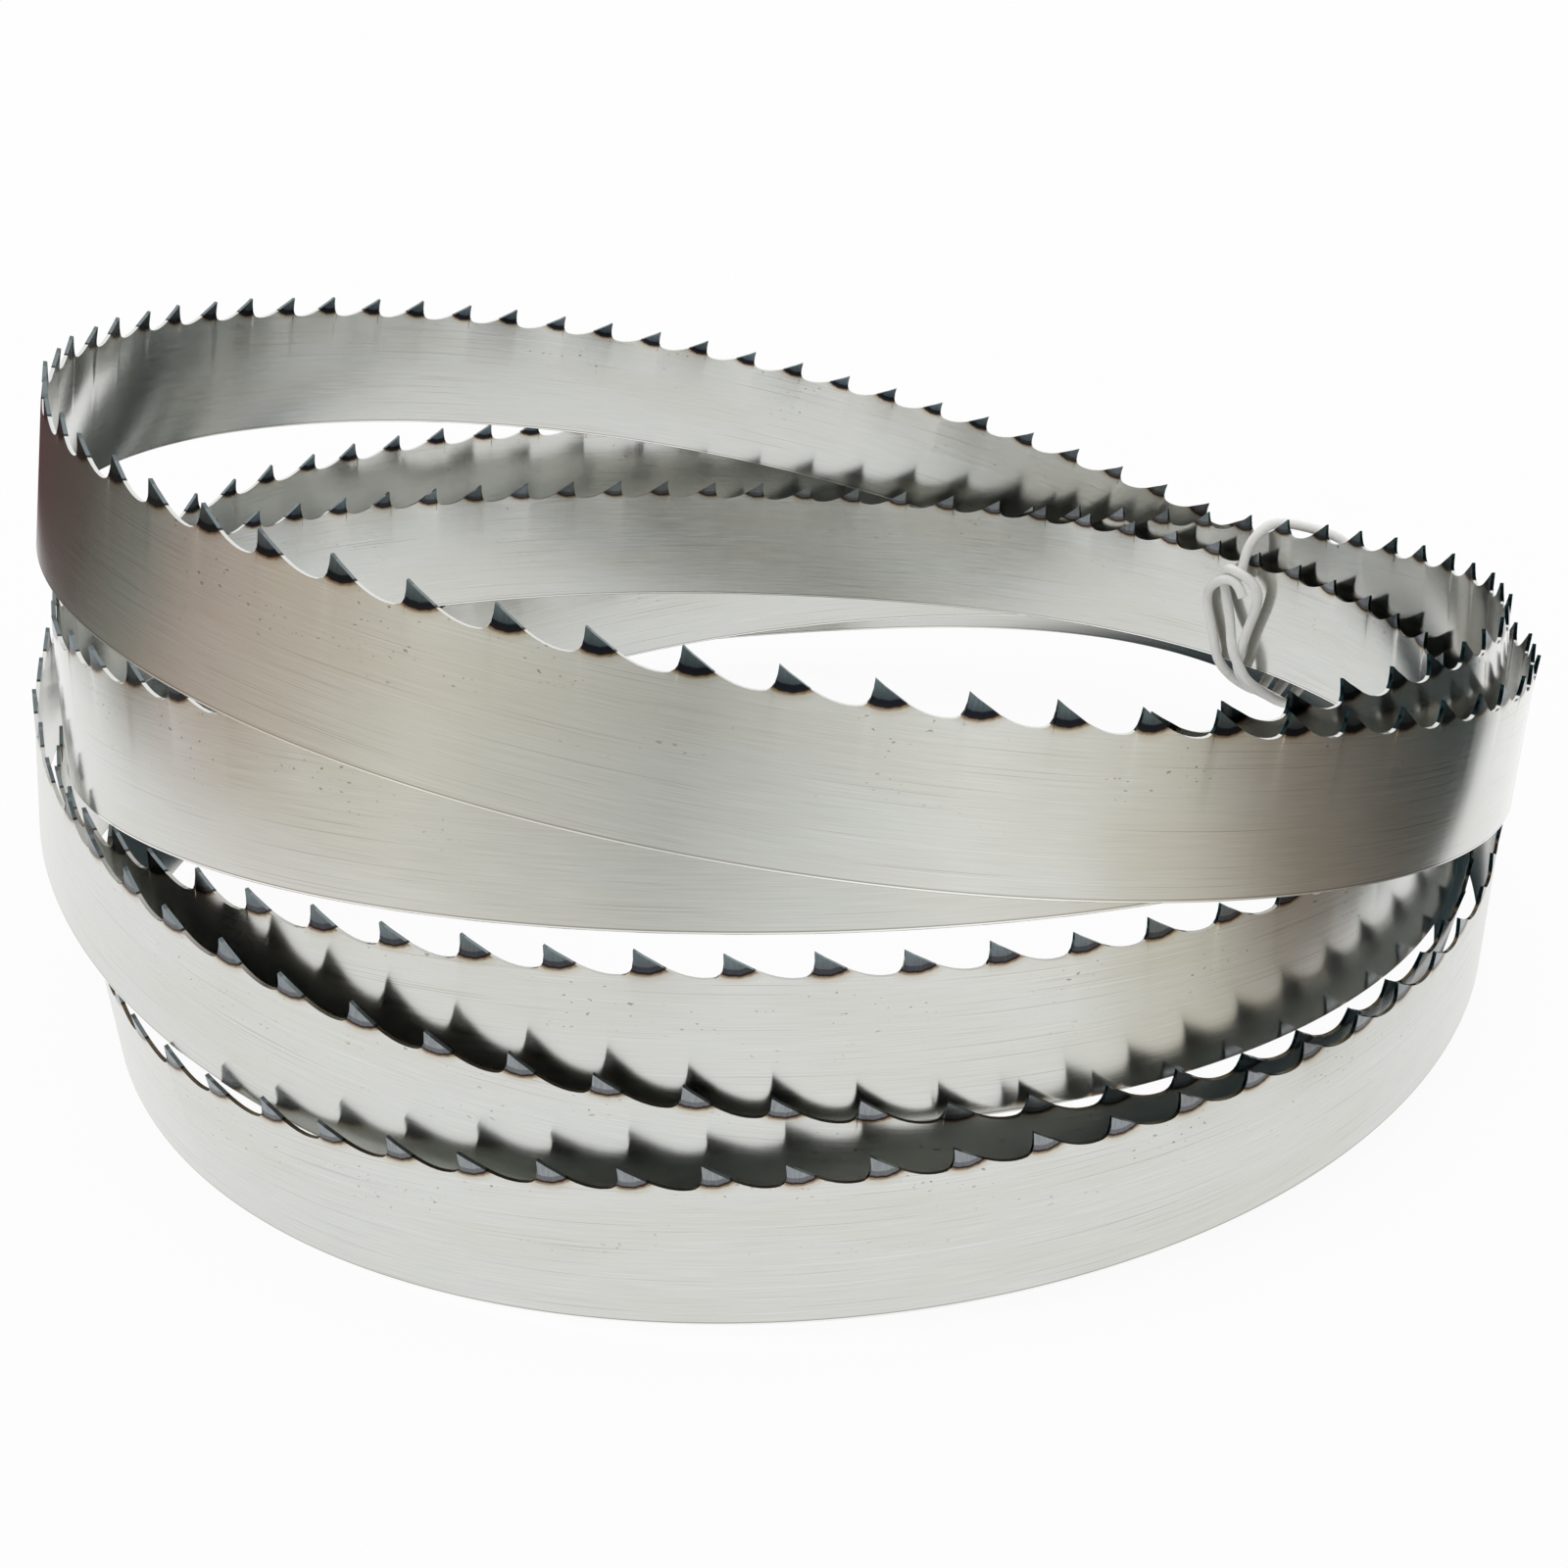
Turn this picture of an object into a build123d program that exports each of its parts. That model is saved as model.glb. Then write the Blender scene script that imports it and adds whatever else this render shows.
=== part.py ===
from build123d import *
import bisect
import math
import os

# Band saw blade, stored as the photograph shows it: one endless toothed steel
# band, coiled into five turns that stand on their back edge with the teeth up,
# and one plastic-coated wire tie that holds the turns together at one side.
# Millimetres. +Z is up, -Y is the side that the photograph sees.

# Driving dimensions of the coiled band
COIL_RADIUS = 92.0
BAND_THICKNESS = 0.5
BACK_TO_GULLET = 16.8
TOOTH_DEPTH = 2.8
TOOTH_PITCH = 8.467
FIRST_TOOTH = 0.2
TOOTH_SET = 0.25

# Driving dimensions of the wire tie
TIE_DIAMETER = 1.6
TIE_BEARING = 233.0

# Route of the band. Each row is one turn, which starts at the front and goes
# round by the left, the back and the right. Each pair is how far the back edge
# lies outside the coil's radius and how high it is, at one of eight bearings,
# because the springy turns lie over and beside each other as they please.
ROUTE = [
    [(2.5, 55), (2, 65.5), (1.5, 64), (3, 51.5), (-0.5, 32.5), (1.5, 11), (-0.5, 7), (0, 3.5)],
    [(2, 1.5), (3.5, -2), (3, 1.5), (-1, 0), (-6.5, 7.5), (-8, 16.5), (-1.5, 29.5), (0, 43)],
    [(-1.5, 47), (5, 44.5), (1.5, 32), (-8, 21), (-10.5, 12.5), (-9, 14), (-3.5, 16.5), (-5.5, 19)],
    [(-3.5, 22.5), (3, 21.5), (8, 12), (4.5, 3), (-3.5, 3), (3, 11.5), (-5, 1), (-8, -0.5)],
    [(-3, 6.5), (5, 18.5), (11, 32), (4.5, 29), (4.5, 23), (6, 8), (0.5, 21.5), (1, 38)],
]

# How far the teeth lie ahead of an even spacing, in pitches, at the same places.
TOOTH_SHIFT = [
    [0, 0.3, 0.15, -0.05, -0.15, -0.25, -0.2, -0.25],
    [-0.45, -0.5, -0.4, -0.3, -0.2, -0.2, -0.35, -0.75],
    [-0.9, -0.75, -0.2, -0.15, -0.3, -0.3, -0.3, -0.4],
    [-0.3, 0.25, 0.6, 0.55, 0.3, -0.05, -0.3, -0.25],
    [0.05, 0.45, -0.15, -0.45, -0.35, -0.25, -0.15, -0.05],
]
STATIONS_PER_TURN = 8
STEPS_PER_STATION = 24

# One tooth, from its tip along its sloping back, through the gullet and up to
# the root of the next tooth's face: share of the pitch, share of the depth.
TOOTH_OUTLINE = [(0.0, 0.0), (0.24, 0.44), (0.56, 0.90), (0.80, 1.0), (0.97, 0.70)]
GULLET_END = 0.9

# Route of the tie's wire, from its cut end in front of the band's inner side.
# Each point is how far it lies on past the tie's bearing, how far outside the
# coil's radius, how high, and whether that height is above the gullets' line.
TIE_ROUTE = [
    # Cut end, and the hook that it makes through the eye
    (2.5, -10.8, 27.4, False),
    (1.3, -10.8, 29.4, False),
    (-1.0, -10.8, 29.6, False),
    (-3.4, -10.8, 28.4, False),
    (-5.6, -10.1, 26.6, False),
    (-6.6, -9.5, 24.6, False),
    (-6.1, -9.5, 22.4, False),
    (-4.9, -9.4, 19.4, False),
    (-2.9, -9.6, 13.2, False),
    # Under the turns and round their outer side
    (-2.4, 0.9, 5.6, False),
    (-2.3, 5.0, 8.0, False),
    (-2.2, 6.3, 13.4, False),
    (-2.1, 7.3, 16.0, False),
    (-1.3, 8.1, 18.0, False),
    (0.3, 8.1, 18.0, False),
    (1.1, 7.3, 16.0, False),
    (1.1, 6.3, 13.4, False),
    (1.0, 5.0, 8.0, False),
    (0.8, 0.9, 5.6, False),
    # Up the inner side again, over as an eye and down
    (0.6, -9.4, 13.2, False),
    (1.5, -9.1, 18.4, False),
    (2.6, -9.0, 22.0, False),
    (3.9, -9.0, 25.6, False),
    (4.2, -9.1, 28.2, False),
    (3.1, -9.7, 30.1, False),
    (1.1, -10.7, 31.2, False),
    (-1.2, -10.6, 31.3, False),
    (-3.1, -9.6, 30.0, False),
    (-3.5, -9.0, 27.6, False),
    (-2.1, -9.0, 24.2, False),
    (-0.7, -9.6, 20.8, False),
    (0.9, -10.7, 17.8, False),
    (2.4, -10.3, 15.4, False),
    (3.7, -9.4, 12.7, False),
    # Under and round the outer side, up to the top and back to the eye
    (4.0, 0.9, 5.5, False),
    (3.8, 5.1, 8.0, False),
    (3.4, 6.6, 14.0, False),
    (3.0, 12.6, 13.6, True),
    (2.8, 11.4, 16.2, True),
    (2.6, -3.4, 22.0, True),
    (1.3, -6.6, 20.8, True),
    (0.3, -8.9, 17.2, True),
    (0.2, -9.1, 12.6, True),
]
TIE_BEND = 0.45

os.makedirs("parts", exist_ok=True)


def station_blends(share):
    # Weights of four neighbouring stations for a smooth line past the middle
    # two, and for how fast that line moves and bends.
    rest = 1 - share
    place = (rest**3, 3 * share**3 - 6 * share**2 + 4, 3 * rest**3 - 6 * rest**2 + 4, share**3)
    speed = (-3 * rest**2, 9 * share**2 - 12 * share, 12 * rest - 9 * rest**2, 3 * share**2)
    bend = (6 * rest, 18 * share - 12, 18 * rest - 12, 6 * share)
    return [[weight / 6 for weight in row] for row in (place, speed, bend)]


def back_edge(turns):
    # Place, travel direction and width direction of the band's back edge after
    # so many turns. The band bends only flatwise, so its width direction is the
    # one that is square to the bend.
    stations = [pair for turn in ROUTE for pair in turn]
    position = turns * STATIONS_PER_TURN
    first = math.floor(position)
    near = [stations[(first + step - 1) % len(stations)] for step in range(4)]
    blends = station_blends(position - first)
    per_radian = STATIONS_PER_TURN / (2 * math.pi)
    radius, radius_speed, radius_bend = (
        sum(weight * pair[0] for weight, pair in zip(row, near)) * per_radian**order
        for order, row in enumerate(blends)
    )
    height, height_speed, height_bend = (
        sum(weight * pair[1] for weight, pair in zip(row, near)) * per_radian**order
        for order, row in enumerate(blends)
    )
    radius += COIL_RADIUS
    angle = -math.pi / 2 - 2 * math.pi * turns
    outward = Vector(math.cos(angle), math.sin(angle), 0)
    onward = Vector(math.sin(angle), -math.cos(angle), 0)
    up = Vector(0, 0, 1)
    place = outward * radius + up * height
    speed = outward * radius_speed + onward * radius + up * height_speed
    bend = outward * (radius_bend - radius) + onward * (2 * radius_speed) + up * height_bend
    return place, speed.normalized(), bend.cross(speed).normalized()


def length_table():
    # How far along the band each small step of the route lies.
    steps = len(ROUTE) * STATIONS_PER_TURN * STEPS_PER_STATION
    places = [back_edge(len(ROUTE) * step / steps)[0] for step in range(steps + 1)]
    lengths = [0.0]
    for before, after in zip(places, places[1:]):
        lengths.append(lengths[-1] + (after - before).length)
    return lengths


def turns_at(length, lengths):
    # The table's steps are short enough to be read as straight lines.
    length = length % lengths[-1]
    step = bisect.bisect_right(lengths, length) - 1
    share = (length - lengths[step]) / (lengths[step + 1] - lengths[step])
    return len(ROUTE) * (step + share) / (len(lengths) - 1)


def toothed_length(length, pitch, lengths):
    # Where a place along an evenly toothed band comes to lie with its teeth.
    shifts = [shift for turn in TOOTH_SHIFT for shift in turn]
    position = turns_at(length, lengths) * STATIONS_PER_TURN
    first = math.floor(position)
    near = [shifts[(first + step - 1) % len(shifts)] for step in range(4)]
    place = station_blends(position - first)[0]
    return length + pitch * sum(weight * shift for weight, shift in zip(place, near))


def band_point(length, height, lengths, side, shift=0.0):
    # A point of the band's surface: side 1 is the outer skin, side -1 the inner.
    place, travel, width = back_edge(turns_at(length, lengths))
    through = travel.cross(width)
    return place + width * height + through * (side * BAND_THICKNESS / 2 + shift)


def tooth_rows(lengths):
    # Corner points of each tooth in turn, the outer and the inner skin apart:
    # the point on the back edge under its tip, then its outline from the tip on.
    teeth = round(lengths[-1] / TOOTH_PITCH)
    pitch = lengths[-1] / teeth
    tip_height = BACK_TO_GULLET + TOOTH_DEPTH
    rows = []
    for tooth in range(teeth):
        lean = TOOTH_SET if tooth % 2 else -TOOTH_SET
        skins = []
        for side in (1, -1):
            root = toothed_length((FIRST_TOOTH - tooth) * pitch, pitch, lengths)
            points = [band_point(root, 0, lengths, side)]
            for along, depth in TOOTH_OUTLINE:
                # The last point is the root of the next tooth, which leans the other way.
                turned = -lean if along > GULLET_END else lean
                height = tip_height - depth * TOOTH_DEPTH
                shift = turned * (1 - depth)
                reach = toothed_length((FIRST_TOOTH - tooth - along) * pitch, pitch, lengths)
                points.append(band_point(reach, height, lengths, side, shift))
            skins.append(points)
        rows.append(skins)
    return rows


def facet(first, second, third):
    return Face(Wire.make_polygon([first, second, third]))


def band_facets(rows):
    # The band's skin as small flat facets: its two sides, its back edge and the
    # toothed edge, all round the closed loop.
    facets = []
    for (outer, inner), (next_outer, next_inner) in zip(rows, rows[1:] + rows[:1]):
        outer_top = outer[1:] + next_outer[1:2]
        inner_top = inner[1:] + next_inner[1:2]
        for near, far in zip(outer_top, outer_top[1:]):
            facets.append(facet(outer[0], near, far))
        facets.append(facet(outer[0], outer_top[-1], next_outer[0]))
        for near, far in zip(inner_top, inner_top[1:]):
            facets.append(facet(inner[0], far, near))
        facets.append(facet(inner[0], next_inner[0], inner_top[-1]))
        for place in range(len(outer_top) - 1):
            facets.append(facet(outer_top[place], inner_top[place], inner_top[place + 1]))
            facets.append(facet(outer_top[place], inner_top[place + 1], outer_top[place + 1]))
        facets.append(facet(outer[0], next_outer[0], next_inner[0]))
        facets.append(facet(outer[0], next_inner[0], inner[0]))
    return facets


def seat_origin(rows):
    # The model's origin is the middle of the floor that the coil stands on.
    corners = [corner for skins in rows for skin in skins for corner in skin]
    across = [corner.X for corner in corners]
    along = [corner.Y for corner in corners]
    middle_x = (min(across) + max(across)) / 2
    middle_y = (min(along) + max(along)) / 2
    return Vector(middle_x, middle_y, min(corner.Z for corner in corners))


band_rows = tooth_rows(length_table())
origin = seat_origin(band_rows)
seated_rows = [[[corner - origin for corner in skin] for skin in skins] for skins in band_rows]

with BuildPart() as blade:
    add(Solid(Shell(band_facets(seated_rows))))

blade.part.label = "blade"
export_step(blade.part, "parts/blade.step")


def tie_point(past, outside, height, on_top):
    angle = math.radians(-90 - TIE_BEARING)
    outward = Vector(math.cos(angle), math.sin(angle), 0)
    onward = Vector(math.sin(angle), -math.cos(angle), 0)
    lift = height + (BACK_TO_GULLET if on_top else 0)
    return outward * (COIL_RADIUS + outside) + onward * past + Vector(0, 0, lift)


def bend_radii(points):
    # Each bend takes the same share of the shorter of the two runs beside it.
    radii = []
    for before, corner, after in zip(points, points[1:], points[2:]):
        turn = math.radians((corner - before).get_angle(after - corner))
        shorter = min((corner - before).length, (after - corner).length)
        radii.append(TIE_BEND * shorter / math.tan(turn / 2))
    return radii


tie_points = [tie_point(*row) - origin for row in TIE_ROUTE]
tie_radii = bend_radii(tie_points)
print("origin, mm:", [round(part, 3) for part in origin])
print("tie's bends, mm:", [round(radius, 1) for radius in tie_radii])

with BuildPart() as wire_tie:
    with BuildLine() as tie_line:
        FilletPolyline(*tie_points, radius=tie_radii)
    with BuildSketch(Plane(origin=tie_line.line @ 0, z_dir=tie_line.line % 0)):
        Circle(TIE_DIAMETER / 2)
    sweep()

wire_tie.part.label = "wire_tie"
export_step(wire_tie.part, "parts/wire_tie.step")
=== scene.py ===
"""Looks of a band saw blade: a coiled, tied, toothed steel band on a pale floor.

The band's route, its teeth and the tie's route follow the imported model's own
sizes, a hair slimmer so that they stay inside its box. Sizes are in metres
unless a comment says otherwise. +Z is up and the photograph looks along +Y.
"""

import logging
import math
from dataclasses import dataclass, field
from enum import Enum

import bmesh
import bpy
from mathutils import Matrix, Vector


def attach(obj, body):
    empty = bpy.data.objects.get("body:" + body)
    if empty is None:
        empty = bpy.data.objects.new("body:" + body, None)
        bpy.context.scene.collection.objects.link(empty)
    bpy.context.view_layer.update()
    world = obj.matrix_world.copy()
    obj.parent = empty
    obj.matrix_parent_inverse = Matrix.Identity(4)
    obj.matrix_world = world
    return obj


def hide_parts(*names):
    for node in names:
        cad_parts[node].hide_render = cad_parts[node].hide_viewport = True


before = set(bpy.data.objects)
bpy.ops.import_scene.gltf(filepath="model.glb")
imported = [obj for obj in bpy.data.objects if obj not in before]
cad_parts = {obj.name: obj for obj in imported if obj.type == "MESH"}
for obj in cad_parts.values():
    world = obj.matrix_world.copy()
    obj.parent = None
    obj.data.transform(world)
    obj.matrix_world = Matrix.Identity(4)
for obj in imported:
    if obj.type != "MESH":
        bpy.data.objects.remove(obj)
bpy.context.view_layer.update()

MM = 0.001
BODY = "root"
LOG = logging.getLogger("band_saw_blade")


class Zone(Enum):
    """The surfaces of the band that are finished in different ways."""

    SIDE = 0.0
    BACK_EDGE = 1.0
    TOOTH_BACK = 2.0
    GULLET = 3.0
    TOOTH_FACE = 4.0


@dataclass(frozen=True)
class Photograph:
    """Where the photograph was taken from, and its square frame."""

    position: tuple[float, float, float] = (14.985 * MM, -259.459 * MM, 142.862 * MM)
    pitch_down: float = math.radians(26.02)
    focal_pixels: float = 2085.0
    frame_pixels: float = 1600.0
    centre_pixels: tuple[float, float] = (921.0, 808.0)
    sensor: float = 36.0
    nearest: float = 0.01
    farthest: float = 20.0

    def build(self) -> bpy.types.Object:
        """Adds the camera and makes it the scene's own.

        Returns:
            The camera's object.
        """
        data = bpy.data.cameras.new("photograph")
        data.sensor_fit = "HORIZONTAL"
        data.sensor_width = self.sensor
        data.lens = self.focal_pixels / self.frame_pixels * self.sensor
        half = self.frame_pixels / 2
        data.shift_x = (half - self.centre_pixels[0]) / self.frame_pixels
        data.shift_y = (self.centre_pixels[1] - half) / self.frame_pixels
        data.clip_start = self.nearest
        data.clip_end = self.farthest
        camera = bpy.data.objects.new("photograph", data)
        camera.location = self.position
        camera.rotation_euler = (math.pi / 2 - self.pitch_down, 0.0, 0.0)
        bpy.context.scene.collection.objects.link(camera)
        bpy.context.scene.camera = camera
        return camera


class Graph:
    """A node tree that is written as calls: it places, sets and links nodes."""

    def __init__(self, tree: bpy.types.NodeTree) -> None:
        """Starts on a tree and empties it.

        Args:
            tree: the tree to build in.
        """
        self.tree = tree
        self.tree.nodes.clear()

    def add(self, kind: str, inputs: dict | None = None, **settings) -> bpy.types.Node:
        """Adds one node.

        Args:
            kind: the node's type name.
            inputs: what each input gets, by its name or number: a value or a socket.
            settings: the node's own options.

        Returns:
            The new node.
        """
        node = self.tree.nodes.new(kind)
        for name, value in settings.items():
            setattr(node, name, value)
        for name, value in (inputs or {}).items():
            self.feed(node.inputs[name], value)
        return node

    def feed(self, socket: bpy.types.NodeSocket, value) -> None:
        """Links a socket to an input, or sets the input's own value."""
        if isinstance(value, bpy.types.NodeSocket):
            self.tree.links.new(value, socket)
        else:
            socket.default_value = value

    def math(self, operation: str, first, second=0.0, third=0.0) -> bpy.types.NodeSocket:
        """Works out one number from up to three.

        Args:
            operation: the arithmetic to do.
            first: a value or a socket.
            second: a value or a socket.
            third: a value or a socket.

        Returns:
            The result's socket.
        """
        kind = "ShaderNodeMath"
        node = self.add(kind, {0: first, 1: second, 2: third}, operation=operation)
        return node.outputs[0]

    def vector(self, operation: str, first, second=(0.0, 0.0, 0.0)) -> bpy.types.NodeSocket:
        """Works out one vector from two, the second of which may be a factor.

        Args:
            operation: the arithmetic to do.
            first: a vector or a socket.
            second: a vector, a factor or a socket.

        Returns:
            The result's socket.
        """
        node = self.add("ShaderNodeVectorMath", {0: first}, operation=operation)
        self.feed(node.inputs["Scale" if operation == "SCALE" else 1], second)
        return node.outputs[0]

    def mix_colour(self, factor, first, second) -> bpy.types.NodeSocket:
        """Blends two colours.

        Args:
            factor: 0 gives the first and 1 the second.
            first: a colour or a socket.
            second: a colour or a socket.

        Returns:
            The blend's socket.
        """
        node = self.add("ShaderNodeMix", data_type="RGBA")
        self.feed(node.inputs[0], factor)
        self.feed(node.inputs[6], first)
        self.feed(node.inputs[7], second)
        return node.outputs[2]

    def ramp(self, value, low: float, high: float) -> bpy.types.NodeSocket:
        """Maps a number smoothly to 0 at low and to 1 at high."""
        node = self.add("ShaderNodeMapRange", {0: value, 1: low, 2: high})
        node.interpolation_type = "SMOOTHSTEP"
        return node.outputs[0]

    def tones(self, value, stops: tuple) -> bpy.types.NodeSocket:
        """Turns a number into a colour.

        Args:
            value: the number's socket.
            stops: pairs of a place between 0 and 1 and the colour there.

        Returns:
            The colour's socket.
        """
        node = self.add("ShaderNodeValToRGB", {0: value})
        elements = node.color_ramp.elements
        for place, _ in stops[len(elements):]:
            elements.new(place)
        for element, (place, colour) in zip(elements, stops):
            element.position = place
            element.color = (*colour, 1.0)
        return node.outputs[0]

    def noise(self, vector, scale: float, detail: float = 2.0) -> bpy.types.NodeSocket:
        """Gives a fixed noise between 0 and 1 over a vector."""
        inputs = {"Vector": vector, "Scale": scale, "Detail": detail}
        return self.add("ShaderNodeTexNoise", inputs).outputs[0]


def link_object(name: str, data: bpy.types.ID) -> bpy.types.Object:
    """Makes an object at the origin and puts it in the scene.

    Args:
        name: the object's name.
        data: its mesh or curve.

    Returns:
        The object.
    """
    thing = bpy.data.objects.new(name, data)
    bpy.context.scene.collection.objects.link(thing)
    return thing


def baked_copy(source: bpy.types.Object, name: str) -> bpy.types.Object:
    """Turns an object with its modifiers or bevel into a plain mesh object.

    Args:
        source: the object, which is removed afterwards.
        name: the new object's name.

    Returns:
        The plain mesh object.
    """
    depsgraph = bpy.context.evaluated_depsgraph_get()
    evaluated = source.evaluated_get(depsgraph)
    mesh = bpy.data.meshes.new_from_object(evaluated, depsgraph=depsgraph)
    mesh.name = name
    bpy.data.objects.remove(source)
    return link_object(name, mesh)


@dataclass(frozen=True)
class RoutePoint:
    """One place on the band's back edge and how the band stands there."""

    place: Vector
    through: Vector
    width: Vector
    tooth_shift: float


@dataclass(frozen=True)
class BandRoute:
    """The back edge of the coiled band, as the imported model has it.

    Each turn is a row of pairs: how far outside the coil's radius the edge
    lies and how high it is, at one of eight bearings, in millimetres.
    """

    # 0.05 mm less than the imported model's, whose flat facets cut the curve's corners.
    coil_radius: float = 91.95
    turns: tuple = (
        ((2.5, 55), (2, 65.5), (1.5, 64), (3, 51.5), (-0.5, 32.5), (1.5, 11), (-0.5, 7), (0, 3.5)),
        ((2, 1.5), (3.5, -2), (3, 1.5), (-1, 0), (-6.5, 7.5), (-8, 16.5), (-1.5, 29.5), (0, 43)),
        ((-1.5, 47), (5, 44.5), (1.5, 32), (-8, 21), (-10.5, 12.5), (-9, 14), (-3.5, 16.5), (-5.5, 19)),
        ((-3.5, 22.5), (3, 21.5), (8, 12), (4.5, 3), (-3.5, 3), (3, 11.5), (-5, 1), (-8, -0.5)),
        ((-3, 6.5), (5, 18.5), (11, 32), (4.5, 29), (4.5, 23), (6, 8), (0.5, 21.5), (1, 38)),
    )
    # How far the teeth lie ahead of an even spacing, in pitches, at the same places.
    tooth_shifts: tuple = (
        (0, 0.3, 0.15, -0.05, -0.15, -0.25, -0.2, -0.25),
        (-0.45, -0.5, -0.4, -0.3, -0.2, -0.2, -0.35, -0.75),
        (-0.9, -0.75, -0.2, -0.15, -0.3, -0.3, -0.3, -0.4),
        (-0.3, 0.25, 0.6, 0.55, 0.3, -0.05, -0.3, -0.25),
        (0.05, 0.45, -0.15, -0.45, -0.35, -0.25, -0.15, -0.05),
    )
    stations: int = 8
    steps: int = 60
    origin: tuple[float, float, float] = (-2.685, 1.259, -0.862)

    def blends(self, share: float) -> list[tuple[float, ...]]:
        """Weighs four neighbouring stations for place, speed and bend.

        Args:
            share: how far between the middle two stations.

        Returns:
            Three rows of four weights.
        """
        rest = 1 - share
        place = (rest**3, 3 * share**3 - 6 * share**2 + 4, 3 * rest**3 - 6 * rest**2 + 4, share**3)
        speed = (-3 * rest**2, 9 * share**2 - 12 * share, 12 * rest - 9 * rest**2, 3 * share**2)
        bend = (6 * rest, 18 * share - 12, 18 * rest - 12, 6 * share)
        return [tuple(weight / 6 for weight in row) for row in (place, speed, bend)]

    def point(self, turns: float) -> RoutePoint:
        """Finds the back edge after so many turns.

        The band bends only flatwise, so its width stands square to the bend.

        Args:
            turns: turns round the coil from the front, by the left.

        Returns:
            The place, in metres, and the two directions across the band.
        """
        pairs = [pair for turn in self.turns for pair in turn]
        position = turns * self.stations
        first = math.floor(position)
        near = [pairs[(first + step - 1) % len(pairs)] for step in range(4)]
        rate = self.stations / math.tau
        radii, heights = (
            [
                sum(weight * pair[part] for weight, pair in zip(row, near)) * rate**order
                for order, row in enumerate(self.blends(position - first))
            ]
            for part in (0, 1)
        )
        radius = radii[0] + self.coil_radius
        angle = -math.pi / 2 - math.tau * turns
        outward = Vector((math.cos(angle), math.sin(angle), 0.0))
        onward = Vector((math.sin(angle), -math.cos(angle), 0.0))
        lift = Vector((0.0, 0.0, 1.0))
        place = outward * radius + lift * heights[0] - Vector(self.origin)
        speed = outward * radii[1] + onward * radius + lift * heights[1]
        bend = outward * (radii[2] - radius) + onward * (2 * radii[1]) + lift * heights[2]
        width = bend.cross(speed).normalized()
        shifts = [shift for turn in self.tooth_shifts for shift in turn]
        near = [shifts[(first + step - 1) % len(shifts)] for step in range(4)]
        shift = sum(weight * value for weight, value in zip(self.blends(position - first)[0], near))
        return RoutePoint(place * MM, speed.normalized().cross(width), width, shift)

    def rail(self, name: str) -> bpy.types.Object:
        """Draws the route as a closed line that carries both directions.

        Args:
            name: the line's name.

        Returns:
            The line's object.
        """
        count = len(self.turns) * self.stations * self.steps
        points = [self.point(len(self.turns) * step / count) for step in range(count)]
        mesh = bpy.data.meshes.new(name)
        edges = [(step, (step + 1) % count) for step in range(count)]
        mesh.from_pydata([point.place for point in points], edges, [])
        for direction in ("through", "width"):
            stored = mesh.attributes.new(direction, "FLOAT_VECTOR", "POINT")
            for item, point in zip(stored.data, points):
                item.vector = getattr(point, direction)
        shifts = mesh.attributes.new("tooth_shift", "FLOAT", "POINT")
        shifts.data.foreach_set("value", [point.tooth_shift for point in points])
        return link_object(name, mesh)

    def length(self) -> float:
        """Measures the whole band, in metres."""
        count = len(self.turns) * self.stations * self.steps
        places = [self.point(len(self.turns) * step / count).place for step in range(count)]
        pairs = zip(places, places[1:] + places[:1])
        return sum((after - before).length for before, after in pairs)


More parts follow.
